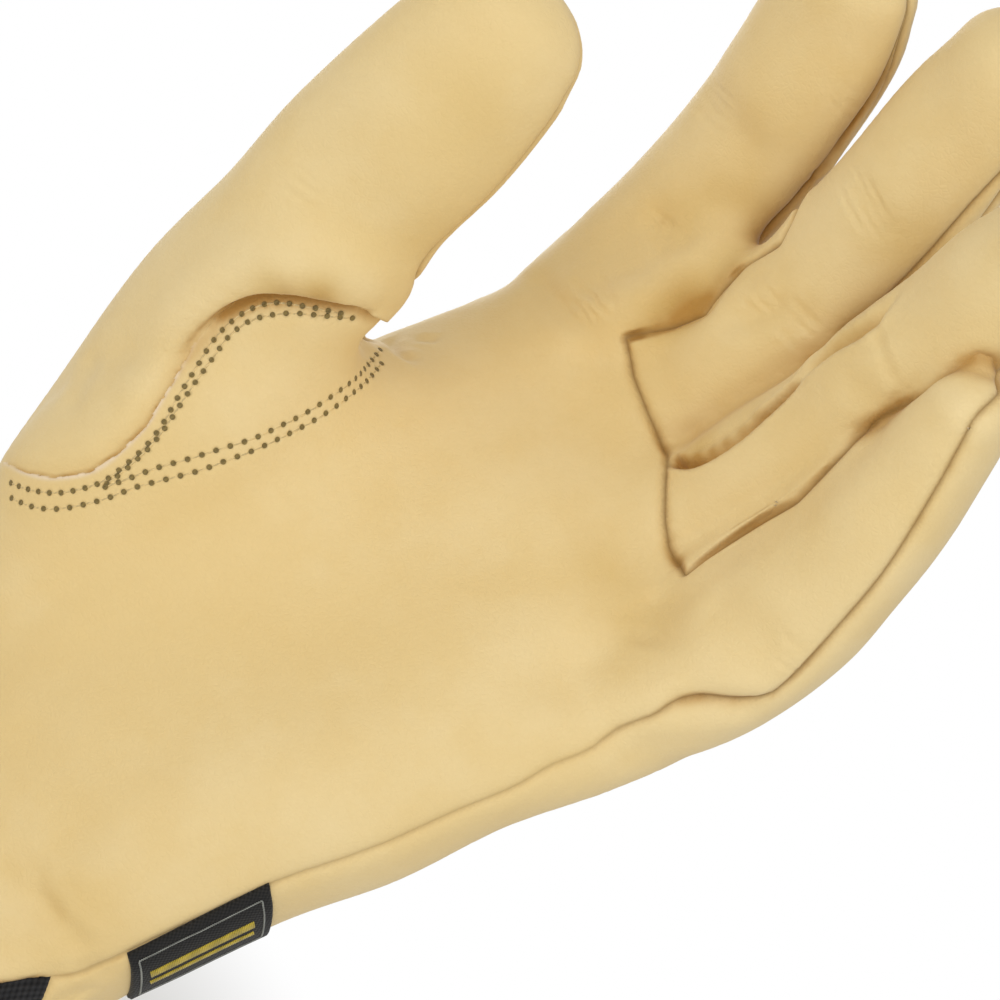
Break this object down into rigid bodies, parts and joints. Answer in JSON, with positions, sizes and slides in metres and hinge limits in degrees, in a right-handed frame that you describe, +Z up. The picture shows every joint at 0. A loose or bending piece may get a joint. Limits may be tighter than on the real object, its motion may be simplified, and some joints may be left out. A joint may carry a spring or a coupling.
{
  "type": "driver glove",
  "caption": "Left-hand leather driver's glove in worn form: keystone thumb with leaf-shaped patch, seamed palm, finger side strips, elastic wrist back, bound cuff and plain side tag.",
  "frame": {"origin": "middle of the wrist opening, in the plane of the cuff's edge", "axes": "+Z up through the palm to the fingertips, -Y the side the palm faces, -X the thumb side, +X the little finger side"},
  "size_m": [0.1309, 0.1132, 0.267],
  "materials": {
    "leather": "matte",
    "elastic": "matte",
    "tag_fabric": "satin"
  },
  "bodies": {
    "root": {"palm_panel": "leather", "middle_ring_front": "leather", "back_panel": "leather", "fourchette_index_middle": "leather", "fourchette_middle_ring": "leather", "fourchette_ring_little": "leather", "thumb_front": "leather", "thumb_back": "leather", "thumb_patch": "leather", "cuff_binding": "leather", "elastic_panel": "elastic", "side_tag": "tag_fabric"}
  },
  "joints": []
}
